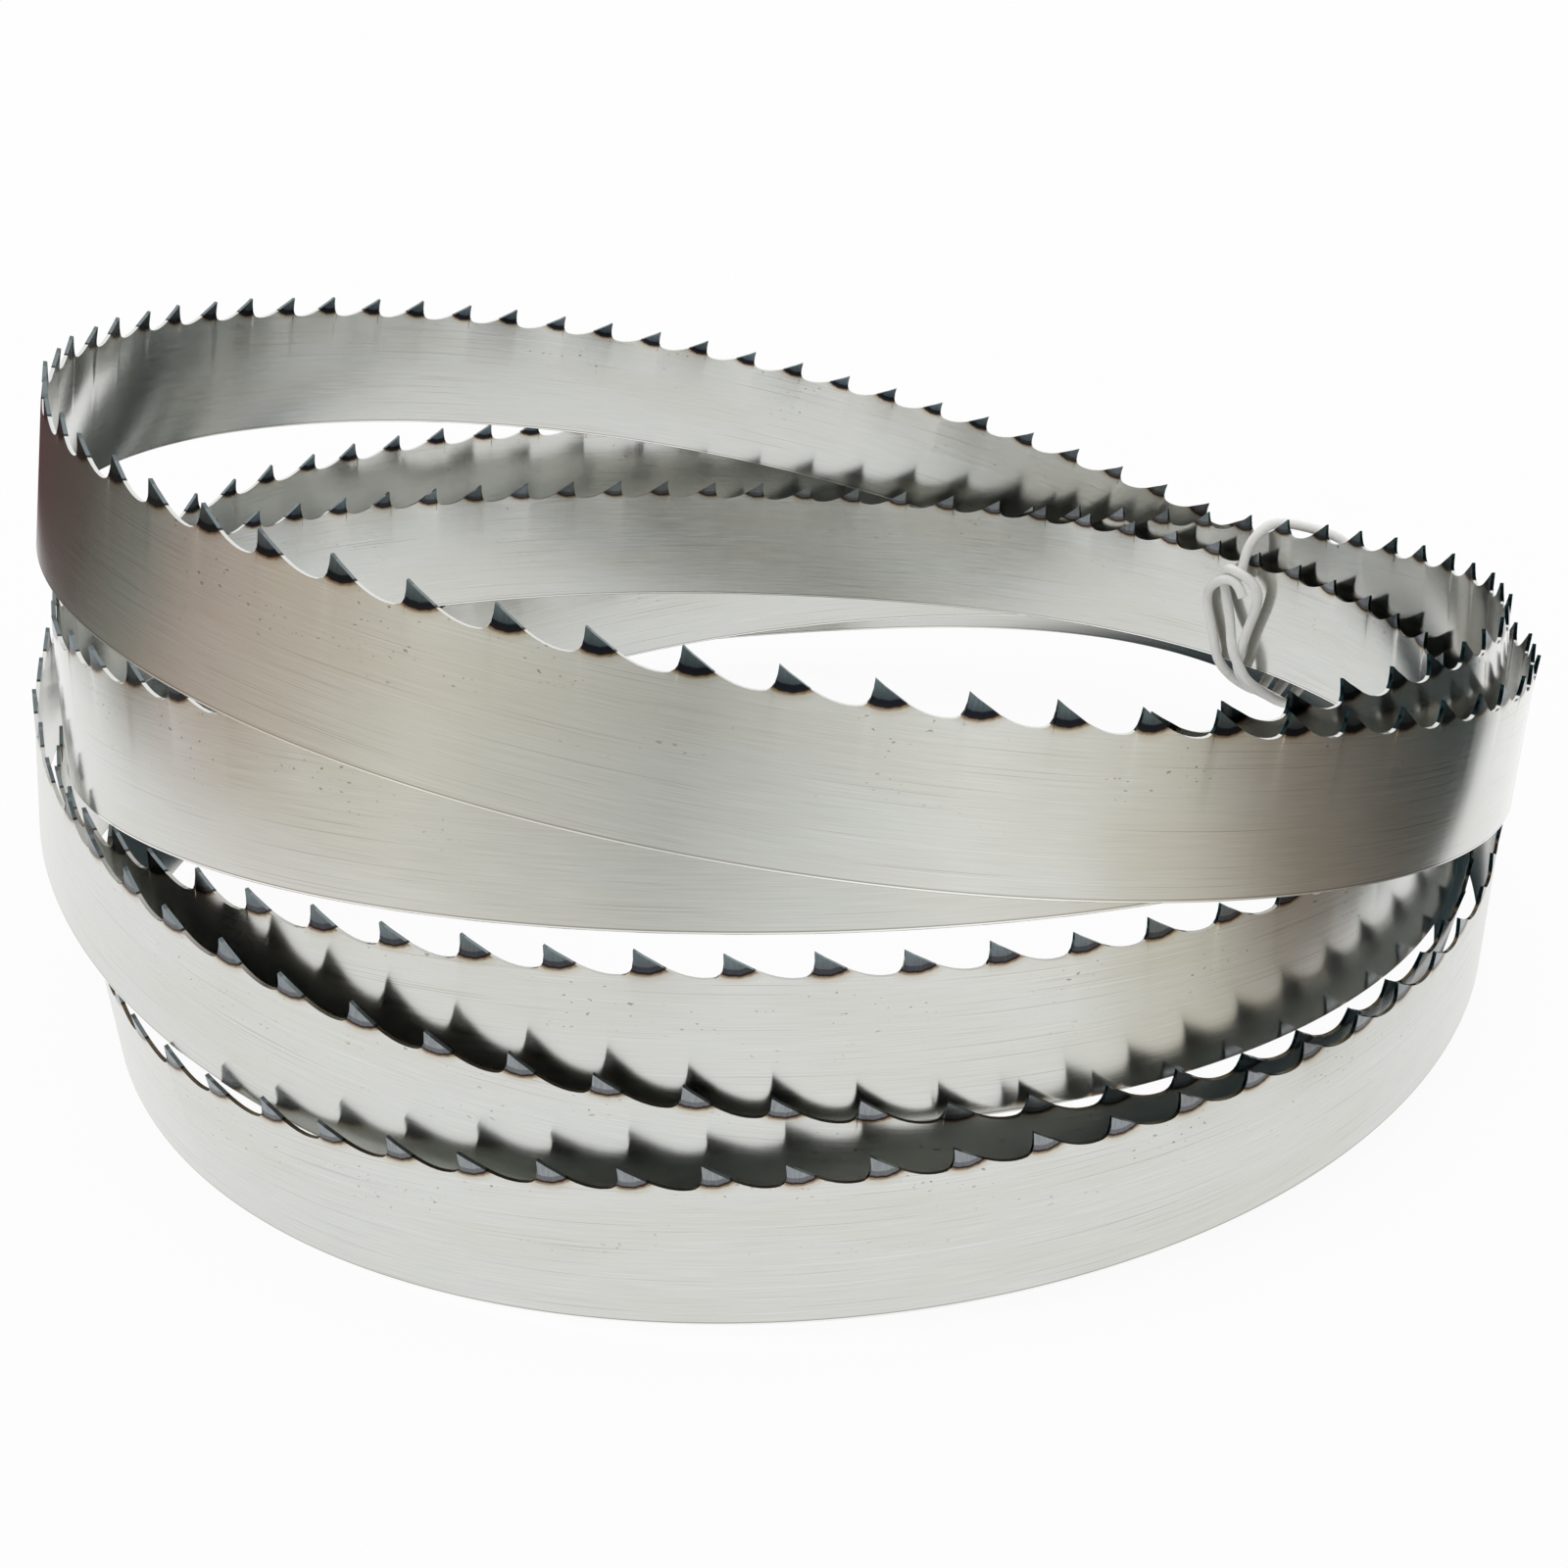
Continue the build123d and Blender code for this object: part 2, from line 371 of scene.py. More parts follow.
@dataclass(frozen=True)
class ToothShape:
    """One tooth of the band, drawn flat: sizes in metres."""

    pitch: float = 8.467 * MM
    to_gullet: float = 16.8 * MM
    depth: float = 2.78 * MM
    thickness: float = 0.45 * MM
    edge_round: float = 0.08 * MM
    # Where the sides have rows of points between their edges, as shares of the
    # height up to the gullets.
    side_rows: tuple[float, float] = (0.5, 0.93)
    # From the middle of one gullet over the tip to the next: how far behind the
    # tip as a share of the pitch, how deep as a share of the depth, which zone.
    outline: tuple = (
        (-0.24, 1.00, Zone.GULLET),
        (-0.15, 0.985, Zone.GULLET),
        (-0.09, 0.94, Zone.GULLET),
        (-0.045, 0.84, Zone.TOOTH_FACE),
        (-0.015, 0.66, Zone.TOOTH_FACE),
        (0.0, 0.35, Zone.TOOTH_FACE),
        (0.0, 0.0, Zone.TOOTH_BACK),
        (0.12, 0.235, Zone.TOOTH_BACK),
        (0.24, 0.44, Zone.TOOTH_BACK),
        (0.38, 0.69, Zone.TOOTH_BACK),
        (0.48, 0.82, Zone.GULLET),
        (0.58, 0.92, Zone.GULLET),
        (0.68, 0.98, Zone.GULLET),
        (0.76, 1.00, Zone.GULLET),
    )

    @property
    def tip(self) -> float:
        """Height of the tooth's tip over the back edge."""
        return self.to_gullet + self.depth

    def mesh(self, name: str) -> bpy.types.Mesh:
        """Builds the stretch of band that carries one tooth, laid out flat.

        X runs along the band with the tip at 0, Y through it and Z up to the
        teeth. The two open ends meet the neighbouring teeth's.

        Args:
            name: the mesh's name.

        Returns:
            The mesh, with the tooth's own map and its zones.
        """
        body = bmesh.new()
        tooth_map = body.loops.layers.uv.new("tooth")
        zones = body.faces.layers.float.new("zone")
        columns = [self.column(body, share, depth) for share, depth, _ in self.outline]
        for place, (near, far) in enumerate(zip(columns, columns[1:])):
            for row, zone in enumerate(self.row_zones(self.outline[place][2])):
                after = (row + 1) % len(near)
                corners = (near[row], near[after], far[after], far[row])
                face = body.faces.new(corners)
                face[zones] = zone.value
                face.smooth = True
        for face in body.faces:
            for loop in face.loops:
                spot = loop.vert.co
                loop[tooth_map].uv = (-spot.x / self.pitch, (self.tip - spot.z) / self.pitch)
        for edge in body.edges:
            kinds = {face[zones] for face in edge.link_faces}
            edge.smooth = not (Zone.SIDE.value in kinds and len(kinds) > 1)
        bmesh.ops.recalc_face_normals(body, faces=body.faces)
        mesh = bpy.data.meshes.new(name)
        body.to_mesh(mesh)
        body.free()
        return mesh

    def row_zones(self, top: Zone) -> list[Zone]:
        """Names the zone of each strip between the rings of a column."""
        sides = [Zone.SIDE] * (len(self.side_rows) + 1)
        return [Zone.BACK_EDGE, *sides, top, *reversed(sides), Zone.BACK_EDGE, Zone.BACK_EDGE]

    def column(self, body: bmesh.types.BMesh, share: float, depth: float) -> list:
        """Adds one ring of corner points round the band's section.

        Args:
            body: the mesh that is being built.
            share: how far behind the tip, as a share of the pitch.
            depth: how deep the toothed edge lies here, as a share of the depth.

        Returns:
            The ring's points, from the back edge up one side and down the other.
        """
        half = self.thickness / 2
        top = self.tip - depth * self.depth
        ring = [
            (half - self.edge_round, 0.0),
            (half, self.edge_round),
            *((half, self.to_gullet * share_up) for share_up in self.side_rows),
            (half, top),
        ]
        ring += [(-through, height) for through, height in reversed(ring)]
        along = -share * self.pitch
        return [body.verts.new((along, through, height)) for through, height in ring]


@dataclass
class BandBlade:
    """The endless toothed band: its teeth laid one after another on the route."""

    route: BandRoute = field(default_factory=BandRoute)
    tooth: ToothShape = field(default_factory=ToothShape)
    tooth_set: float = 0.20 * MM
    first_tooth: float = 0.2
    weld_tooth: int = 104
    weld_gap: float = 0.01 * MM
    chance_seed: int = 11

    def tree(self) -> bpy.types.NodeTree:
        """Builds the nodes that repeat the tooth and bend it along the rail.

        Returns:
            The node group, with its sizes as named inputs.
        """
        group = bpy.data.node_groups.new("teeth_along_rail", "GeometryNodeTree")
        face = group.interface
        face.new_socket("Geometry", in_out="OUTPUT", socket_type="NodeSocketGeometry")
        for name, kind in (
            ("Tooth", "NodeSocketGeometry"),
            ("Rail", "NodeSocketObject"),
            ("Teeth", "NodeSocketInt"),
            ("Pitch", "NodeSocketFloat"),
            ("Start", "NodeSocketFloat"),
            ("Set", "NodeSocketFloat"),
            ("Gullet height", "NodeSocketFloat"),
            ("Tooth depth", "NodeSocketFloat"),
            ("Steel", "NodeSocketMaterial"),
        ):
            face.new_socket(name, in_out="INPUT", socket_type=kind)
        graph = Graph(group)
        given = graph.add("NodeGroupInput").outputs
        step = graph.math("MULTIPLY", given["Pitch"], -1.0)
        offset = graph.add("ShaderNodeCombineXYZ", {0: step}).outputs[0]
        line = graph.add("GeometryNodeMeshLine", {"Count": given["Teeth"], "Offset": offset})
        teeth = graph.add(
            "GeometryNodeInstanceOnPoints", {"Points": line.outputs[0], "Instance": given["Tooth"]}
        ).outputs[0]
        index = graph.add("GeometryNodeInputIndex").outputs[0]
        side = graph.math("MULTIPLY_ADD", graph.math("MODULO", index, 2.0), 2.0, -1.0)
        teeth = self.store(graph, teeth, "lean", "INSTANCE", "FLOAT", side)
        seed = {"Seed": self.chance_seed}
        chance = graph.add("FunctionNodeRandomValue", seed, data_type="FLOAT").outputs[1]
        teeth = self.store(graph, teeth, "tooth_chance", "INSTANCE", "FLOAT", chance)
        flat = graph.add("GeometryNodeRealizeInstances", {0: teeth}).outputs[0]
        place = graph.add("GeometryNodeInputPosition").outputs[0]
        split = graph.add("ShaderNodeSeparateXYZ", {0: place}).outputs
        reach = graph.math("ADD", split[0], given["Start"])
        chart = graph.add(
            "ShaderNodeCombineXYZ", {0: reach, 1: graph.math("ADD", split[2], split[1])}
        ).outputs[0]
        flat = self.store(graph, flat, "band", "CORNER", "FLOAT2", chart)
        bent = self.bend(graph, given, flat, reach, split)
        welded = graph.add("GeometryNodeMergeByDistance", {"Geometry": bent, "Distance": self.weld_gap})
        done = graph.add(
            "GeometryNodeSetMaterial", {"Geometry": welded.outputs[0], "Material": given["Steel"]}
        )
        graph.add("NodeGroupOutput", {0: done.outputs[0]})
        return group

    def store(self, graph: Graph, geometry, name: str, domain: str, kind: str, value):
        """Stores a named value on the geometry.

        Args:
            graph: the tree that is being built.
            geometry: the geometry's socket.
            name: the attribute's name.
            domain: what part of the geometry carries it.
            kind: the value's data type.
            value: the value's socket.

        Returns:
            The new geometry's socket.
        """
        node = graph.add(
            "GeometryNodeStoreNamedAttribute",
            {"Geometry": geometry, "Name": name},
            data_type=kind,
            domain=domain,
        )
        enabled = [socket for socket in node.inputs if socket.name == "Value" and socket.enabled]
        graph.feed(enabled[0], value)
        return node.outputs[0]

    def bend(self, graph: Graph, given, flat, reach, split) -> bpy.types.NodeSocket:
        """Moves the flat band onto the rail and sets its teeth to either side.

        Args:
            graph: the tree that is being built.
            given: the tree's own inputs.
            flat: the flat band's geometry.
            reach: how far each point lies along the band.
            split: each point's place, as three numbers.

        Returns:
            The bent band's geometry.
        """
        drawn = graph.add("GeometryNodeObjectInfo", {"Object": given["Rail"]}).outputs["Geometry"]
        rail = graph.add("GeometryNodeMeshToCurve", {0: drawn}).outputs[0]
        total = graph.add("GeometryNodeCurveLength", {0: rail}).outputs[0]
        even = graph.math("FLOORED_MODULO", reach, total)
        ahead = self.sample(graph, rail, even, "tooth_shift", "FLOAT")
        toothed = graph.math("MULTIPLY_ADD", ahead, given["Pitch"], even)
        wrapped = graph.math("FLOORED_MODULO", toothed, total)
        place = self.sample(graph, rail, wrapped, None)
        through = self.sample(graph, rail, wrapped, "through")
        width = self.sample(graph, rail, wrapped, "width")
        above = graph.math("SUBTRACT", split[2], given["Gullet height"])
        rise = graph.math("MAXIMUM", graph.math("DIVIDE", above, given["Tooth depth"]), 0.0)
        lean = graph.add("GeometryNodeInputNamedAttribute", {"Name": "lean"}, data_type="FLOAT")
        bow = graph.math("MULTIPLY", graph.math("MULTIPLY", rise, lean.outputs[0]), given["Set"])
        across = graph.vector("SCALE", through, graph.math("ADD", split[1], bow))
        up = graph.vector("SCALE", width, split[2])
        spot = graph.vector("ADD", graph.vector("ADD", place, across), up)
        moved = graph.add("GeometryNodeSetPosition", {"Geometry": flat, "Position": spot})
        return moved.outputs[0]

    def sample(
        self, graph: Graph, rail, length, name: str | None, kind: str = "FLOAT_VECTOR"
    ) -> bpy.types.NodeSocket:
        """Reads the rail's place, or one of its stored values, at a length.

        Args:
            graph: the tree that is being built.
            rail: the rail's curve.
            length: how far along the rail.
            name: the stored value's name, or None for the place.
            kind: the stored value's data type.

        Returns:
            The value's socket.
        """
        node = graph.add("GeometryNodeSampleCurve", {"Curves": rail}, mode="LENGTH")
        node.data_type = kind
        node.use_all_curves = False
        graph.feed(node.inputs["Length"], length)
        if name is None:
            return node.outputs["Position"]
        stored = graph.add("GeometryNodeInputNamedAttribute", {"Name": name})
        stored.data_type = kind
        values = [socket for socket in node.inputs if socket.name == "Value" and socket.enabled]
        graph.feed(values[0], [out for out in stored.outputs if out.enabled][0])
        return [socket for socket in node.outputs if socket.name == "Value" and socket.enabled][0]

    def build(self, steel: bpy.types.Material) -> bpy.types.Object:
        """Makes the whole band as one plain mesh.

        Args:
            steel: the band's finish.

        Returns:
            The band's object.
        """
        length = self.route.length()
        teeth = round(length / self.tooth.pitch)
        tooth = ToothShape(pitch=length / teeth)
        rail = self.route.rail("band_rail")
        carrier = link_object("band_teeth", tooth.mesh("band_tooth"))
        modifier = carrier.modifiers.new("teeth", "NODES")
        modifier.node_group = self.tree()
        sizes = {
            "Rail": rail,
            "Teeth": teeth,
            "Pitch": tooth.pitch,
            "Start": (self.first_tooth - self.weld_tooth) * tooth.pitch,
            "Set": self.tooth_set,
            "Gullet height": tooth.to_gullet,
            "Tooth depth": tooth.depth,
            "Steel": steel,
        }
        for item in modifier.node_group.interface.items_tree:
            if item.name in sizes:
                modifier[item.identifier] = sizes[item.name]
        band = baked_copy(carrier, "toothed_band")
        bpy.data.objects.remove(rail)
        LOG.info("band: %d teeth, %.3f m long, %d faces", teeth, length, len(band.data.polygons))
        return band


@dataclass
class WireTie:
    """The coated wire that holds the turns together, with its cut end in front.

    The route's points are how far each lies past the tie's bearing, how far
    outside the coil's radius and how high, in millimetres.
    """

    route: BandRoute = field(default_factory=BandRoute)
    diameter: float = 1.6 * MM
    bearing: float = math.radians(233.0)
    points: tuple = (
        (2.5, -10.8, 27.4),
        (1.3, -10.8, 29.4),
        (-1.0, -10.8, 29.6),
        (-3.4, -10.8, 28.4),
        (-5.6, -10.1, 26.6),
        (-6.6, -9.5, 24.6),
        (-6.1, -9.5, 22.4),
        (-4.9, -9.4, 19.4),
        (-2.9, -9.6, 13.2),
        (-2.4, 0.9, 5.6),
        (-2.3, 5.0, 8.0),
        (-2.2, 6.3, 13.4),
        (-2.1, 7.3, 16.0),
        (-1.3, 8.1, 18.0),
        (0.3, 8.1, 18.0),
        (1.1, 7.3, 16.0),
        (1.1, 6.3, 13.4),
        (1.0, 5.0, 8.0),
        (0.8, 0.9, 5.6),
        (0.6, -9.4, 13.2),
        (1.5, -9.1, 18.4),
        (2.6, -9.0, 22.0),
        (3.9, -9.0, 25.6),
        (4.2, -9.1, 28.2),
        (3.1, -9.7, 30.1),
        (1.1, -10.7, 31.2),
        (-1.2, -10.6, 31.3),
        (-3.1, -9.6, 30.0),
        (-3.5, -9.0, 27.6),
        (-2.1, -9.0, 24.2),
        (-0.7, -9.6, 20.8),
        (0.9, -10.7, 17.8),
        (2.4, -10.3, 15.4),
        (3.7, -9.4, 12.7),
        (4.0, 0.9, 5.5),
        (3.8, 5.1, 8.0),
        (3.4, 6.6, 14.0),
        (3.0, 12.6, 30.4),
        (2.8, 11.4, 33.0),
        (2.6, -3.4, 38.8),
        (1.3, -6.6, 37.6),
        (0.3, -8.9, 34.0),
        (0.2, -9.1, 29.4),
    )
    ring_faces: int = 5
    smoothness: int = 8

    def build(self, coating: bpy.types.Material) -> bpy.types.Object:
        """Makes the wire as one plain mesh along its smooth route.

        Args:
            coating: the wire's finish.

        Returns:
            The wire's object.
        """
        angle = -math.pi / 2 - self.bearing
        outward = Vector((math.cos(angle), math.sin(angle), 0.0))
        onward = Vector((math.sin(angle), -math.cos(angle), 0.0))
        data = bpy.data.curves.new("wire_tie_line", "CURVE")
        data.dimensions = "3D"
        data.bevel_depth = self.diameter / 2
        data.bevel_resolution = self.ring_faces
        data.use_fill_caps = True
        data.resolution_u = self.smoothness
        spline = data.splines.new("NURBS")
        spline.points.add(len(self.points) - 1)
        for control, (past, outside, height) in zip(spline.points, self.points):
            place = outward * (self.route.coil_radius + outside) + onward * past
            place += Vector((0.0, 0.0, height)) - Vector(self.route.origin)
            control.co = (*(place * MM), 1.0)
        spline.order_u = 3
        spline.use_endpoint_u = True
        data.materials.append(coating)
        wire = baked_copy(link_object("wire_tie_line", data), "tie_wire")
        wire.data.polygons.foreach_set("use_smooth", [True] * len(wire.data.polygons))
        LOG.info("tie: %d faces", len(wire.data.polygons))
        return wire


@dataclass(frozen=True)
class Grain:
    """A noise on the band: its grains' length and height, and its finer detail.

    The last number moves the pattern, so that no two noises are alike.
    """

    along: float
    across: float
    detail: float
    away: float = 0.0


@dataclass(frozen=True)
class Marks:
    """Marks that a noise leaves: where they start and are full, and how strong."""

    grain: Grain
    limits: tuple[float, float]
    strength: float = 1.0


@dataclass(frozen=True)
class Ring:
    """A border round the heated disc: how far past its rim, how soft, how strong.

    The first two are in tooth pitches.
    """

    past_rim: float
    soft: float
    strength: float = 1.0


@dataclass(frozen=True)
class BrushedSteel:
    """Pale spring steel, brushed along the band, with hardened tooth points."""

    name: str = "brushed_spring_steel"
    steel: tuple = (0.68, 0.69, 0.665, 1.0)
    warm_film: tuple = (0.665, 0.665, 0.625, 1.0)
    scratch: tuple = (0.86, 0.86, 0.83, 1.0)
    ground: tuple = (0.75, 0.76, 0.74, 1.0)
    hardened: tuple = (0.055, 0.068, 0.078, 1.0)
    hardened_rim: tuple = (0.014, 0.018, 0.024, 1.0)
    hardened_tip: tuple = (0.13, 0.175, 0.19, 1.0)
    # The lower turns' teeth came out paler, and their gullets are brown with oil.
    hardened_pale: tuple = (0.27, 0.29, 0.305, 1.0)
    hardened_rim_pale: tuple = (0.15, 0.155, 0.165, 1.0)
    oiled: tuple = (0.13, 0.105, 0.07, 1.0)
    lower_turns: tuple = (0.030, 0.046)
    hardened_wall: tuple = (0.20, 0.235, 0.245, 1.0)
    hardened_line: tuple = (0.022, 0.018, 0.022, 1.0)
    heat_brown: tuple = (0.22, 0.14, 0.075, 1.0)
    heat_tan: tuple = (0.50, 0.42, 0.30, 1.0)
    face_dark: tuple = (0.012, 0.03, 0.035, 1.0)
    # Brown of the specks and dark scratches, also used for the painted shade line over the back edge.
    speck_and_edge_shade: tuple = (0.20, 0.15, 0.10, 1.0)
    # Painted highlight along the back edge, with a painted shade line just above it, so many pitches
    # below the tip.
    edge_highlight: tuple = (0.97, 0.97, 0.94, 1.0)
    edge_shade_line: tuple = (2.262, 2.278)
    edge_highlight_line: tuple = (2.284, 2.290)
    # The heated disc's middle, behind and below the tooth's tip, and its radius,
    # all in tooth pitches.
    heat_middle: tuple = (0.12, -0.125, 0.0)
    heat_radius: float = 0.388
    halo: Ring = Ring(0.09, 0.075, 0.65)
    brown_ring: Ring = Ring(0.055, 0.022, 0.9)
    dark_line: Ring = Ring(0.028, 0.010)
    hardened_disc: Ring = Ring(0.0, 0.014)
    inside_rim: Ring = Ring(-0.062, 0.012)
    # How far below the tip the hardened point has its darker colour.
    tip_fade: tuple[float, float] = (0.0, 0.24)
    ragged_scale: float = 14.0
    ragged_detail: float = 2.0
    ragged: float = 0.03
    uneven: float = 0.024
    # A brightness is its base plus its contrast times the noise.
    fine_lines: Grain = Grain(0.007, 0.0001, 2.0)
    broad_lines: Grain = Grain(0.02, 0.0004, 2.0, 5.0)
    fine_share: float = 0.8
    line_contrast: float = 0.36
    line_base: float = 0.82
    core_grain: Grain = Grain(0.00022, 0.0016, 2.0, 43.0)
    core_contrast: float = 0.7
    core_base: float = 0.65
    film_patches: Marks = Marks(Grain(0.034, 0.008, 3.0, 9.0), (0.38, 0.66))
    bright_scratches: Marks = Marks(Grain(0.05, 0.00016, 0.0, 13.0), (0.74, 0.80), 0.35)
    dark_scratches: Marks = Marks(Grain(0.03, 0.00014, 0.0, 21.0), (0.73, 0.79), 0.32)
    specks: Marks = Marks(Grain(0.0008, 0.0005, 1.0, 31.0), (0.68, 0.73))
    speck_patches: Marks = Marks(Grain(0.012, 0.005, 1.0, 37.0), (0.48, 0.62))
    # The specks thin out so many pitches below the tip.
    speck_fade: tuple[float, float] = (0.6, 1.8)
    speck_strength: float = 0.65
    # How strong the painted shade line over the back edge is.
    edge_shade_strength: float = 0.55
    roughness: float = 0.165
    rough_spread: float = 0.12
    brushing: float = 0.9
    bump_strength: float = 0.03
    bump_height: float = 0.00001
    zone_gap: float = 0.25

    def build(self) -> bpy.types.Material:
        """Builds the material.

        Returns:
            The finished material.
        """
        material = bpy.data.materials.new(self.name)
        material.use_nodes = True
        graph = Graph(material.node_tree)
        band = graph.add("ShaderNodeUVMap", uv_map="band").outputs[0]
        tooth = graph.add("ShaderNodeUVMap", uv_map="tooth").outputs[0]
        lines = self.brush_lines(graph, band)
        heat = self.heat_distance(graph, tooth)
        sides = self.heated(graph, band, tooth, heat, self.side_colour(graph, band, tooth, lines))
        colour = self.walls(graph, heat, sides)
        tangent = graph.add("ShaderNodeTangent", direction_type="UV_MAP", uv_map="band").outputs[0]
        smoothest = self.roughness - self.rough_spread / 2
        rough = graph.math("MULTIPLY_ADD", lines, self.rough_spread, smoothest)
        relief = {"Strength": self.bump_strength, "Distance": self.bump_height, "Height": lines}
        bump = graph.add("ShaderNodeBump", relief)
        shader = graph.add(
            "ShaderNodeBsdfPrincipled",
            {
                "Base Color": colour,
                "Metallic": 1.0,
                "Roughness": rough,
                "Anisotropic": self.brushing,
                "Anisotropic Rotation": 0.25,
                "Tangent": tangent,
                "Normal": bump.outputs[0],
            },
        )
        graph.add("ShaderNodeOutputMaterial", {0: shader.outputs[0]})
        return material

    def streaks(self, graph: Graph, band, grain: Grain) -> bpy.types.NodeSocket:
        """Gives a noise whose grains are so long and so high on the band.

        Args:
            graph: the material's nodes.
            band: the band's own map, in metres.
            grain: the noise's sizes.

        Returns:
            The noise, between 0 and 1.
        """
        scaled = graph.vector("MULTIPLY", band, (1.0 / grain.along, 1.0 / grain.across, 1.0))
        moved = graph.vector("ADD", scaled, (grain.away,) * 3)
        return graph.noise(moved, 1.0, grain.detail)

    def marked(self, graph: Graph, band, marks: Marks) -> bpy.types.NodeSocket:
        """Gives how much of a mark each place has, between 0 and its strength."""
        shown = graph.ramp(self.streaks(graph, band, marks.grain), *marks.limits)
        return graph.math("MULTIPLY", shown, marks.strength)

    def brush_lines(self, graph: Graph, band) -> bpy.types.NodeSocket:
        """Draws the fine lengthwise brush lines, from 0 to 1."""
        fine = self.streaks(graph, band, self.fine_lines)
        broad = self.streaks(graph, band, self.broad_lines)
        rest = graph.math("MULTIPLY", broad, 1.0 - self.fine_share)
        return graph.math("MULTIPLY_ADD", fine, self.fine_share, rest)

    def side_colour(self, graph: Graph, band, tooth, lines) -> bpy.types.NodeSocket:
        """Colours the broad sides: film, brushing, long scratches, specks, and the painted highlight and
        painted shade line along the back edge.
        """
        film = self.marked(graph, band, self.film_patches)
        colour = graph.mix_colour(film, self.steel, self.warm_film)
        brightness = graph.math("MULTIPLY_ADD", lines, self.line_contrast, self.line_base)
        colour = graph.vector("SCALE", colour, brightness)
        bright = self.marked(graph, band, self.bright_scratches)
        colour = graph.mix_colour(bright, colour, self.scratch)
        dark = self.marked(graph, band, self.dark_scratches)
        colour = graph.mix_colour(dark, colour, self.speck_and_edge_shade)
        grains = self.marked(graph, band, self.specks)
        patches = self.marked(graph, band, self.speck_patches)
        below = graph.add("ShaderNodeSeparateXYZ", {0: tooth}).outputs[1]
        upper = graph.math("SUBTRACT", 1.0, graph.ramp(below, *self.speck_fade))
        speckled = graph.math("MULTIPLY", graph.math("MULTIPLY", grains, patches), upper)
        speckled = graph.math("MULTIPLY", speckled, self.speck_strength)
        colour = graph.mix_colour(speckled, colour, self.speck_and_edge_shade)
        # Painted shade: a dark line just above the back edge.
        edge_shade = graph.ramp(below, *self.edge_shade_line)
        edge_shade = graph.math("MULTIPLY", edge_shade, self.edge_shade_strength)
        colour = graph.mix_colour(edge_shade, colour, self.speck_and_edge_shade)
        # Painted highlight: a bright strip along the back edge.
        return graph.mix_colour(graph.ramp(below, *self.edge_highlight_line), colour, self.edge_highlight)

    def heat_distance(self, graph: Graph, tooth) -> bpy.types.NodeSocket:
        """Measures how far the nearest heated disc's middle lies, in tooth pitches."""
        spans = []
        for onward in (0.0, 1.0):
            middle = (self.heat_middle[0] + onward, self.heat_middle[1], 0.0)
            away = graph.vector("SUBTRACT", tooth, middle)
            spans.append(graph.add("ShaderNodeVectorMath", {0: away}, operation="LENGTH"))
        nearest = graph.math("MINIMUM", spans[0].outputs["Value"], spans[1].outputs["Value"])
        rough = graph.noise(tooth, self.ragged_scale, self.ragged_detail)
        wobble = graph.math("MULTIPLY_ADD", rough, self.ragged, -self.ragged / 2)
        chance = graph.add("ShaderNodeAttribute", attribute_name="tooth_chance").outputs["Fac"]
        uneven = graph.math("MULTIPLY_ADD", chance, self.uneven, -self.uneven / 2)
        return graph.math("ADD", nearest, graph.math("ADD", wobble, uneven))

    def within(self, graph: Graph, heat, ring: Ring) -> bpy.types.NodeSocket:
        """Gives a ring's strength inside it and 0 outside it."""
        radius = self.heat_radius + ring.past_rim
        outside = graph.ramp(heat, radius - ring.soft, radius + ring.soft)
        inside = graph.math("SUBTRACT", 1.0, outside)
        return graph.math("MULTIPLY", inside, ring.strength)

    def low(self, graph: Graph) -> bpy.types.NodeSocket:
        """Gives 1 on the lower turns and 0 on the upper ones."""
        place = graph.add("ShaderNodeTexCoord").outputs["Object"]
        height = graph.add("ShaderNodeSeparateXYZ", {0: place}).outputs[2]
        return graph.math("SUBTRACT", 1.0, graph.ramp(height, *self.lower_turns))

    def heated(self, graph: Graph, band, tooth, heat, colour) -> bpy.types.NodeSocket:
        """Adds each tooth's dark hardened disc, its dark rim and the heat's tan edge."""
        for ring, tint in (
            (self.halo, self.heat_tan),
            (self.brown_ring, self.heat_brown),
            (self.dark_line, self.hardened_line),
        ):
            colour = graph.mix_colour(self.within(graph, heat, ring), colour, tint)
        below = graph.add("ShaderNodeSeparateXYZ", {0: tooth}).outputs[1]
        deep = graph.ramp(below, *self.tip_fade)
        core = graph.mix_colour(deep, self.hardened_tip, self.hardened)
        core = graph.mix_colour(self.low(graph), core, self.hardened_pale)
        rim = graph.mix_colour(self.low(graph), self.hardened_rim, self.hardened_rim_pale)
        core = graph.mix_colour(self.within(graph, heat, self.inside_rim), rim, core)
        grain = self.streaks(graph, band, self.core_grain)
        brightness = graph.math("MULTIPLY_ADD", grain, self.core_contrast, self.core_base)
        core = graph.vector("SCALE", core, brightness)
        return graph.mix_colour(self.within(graph, heat, self.hardened_disc), colour, core)

    def walls(self, graph: Graph, heat, colour) -> bpy.types.NodeSocket:
        """Gives the thin walls of the band their own colours."""
        zone = graph.add("ShaderNodeAttribute", attribute_name="zone").outputs["Fac"]
        line = self.within(graph, heat, self.dark_line)
        ground = graph.mix_colour(self.low(graph), self.ground, self.oiled)
        ground = graph.mix_colour(line, ground, self.hardened_line)
        core = self.within(graph, heat, self.hardened_disc)
        ground = graph.mix_colour(core, ground, self.hardened_wall)
        for kind, tint in (
            (Zone.BACK_EDGE, self.ground),
            (Zone.TOOTH_BACK, ground),
            (Zone.GULLET, ground),
            (Zone.TOOTH_FACE, self.face_dark),
        ):
            here = graph.math("COMPARE", zone, kind.value, self.zone_gap)
            colour = graph.mix_colour(here, colour, tint)
        return colour


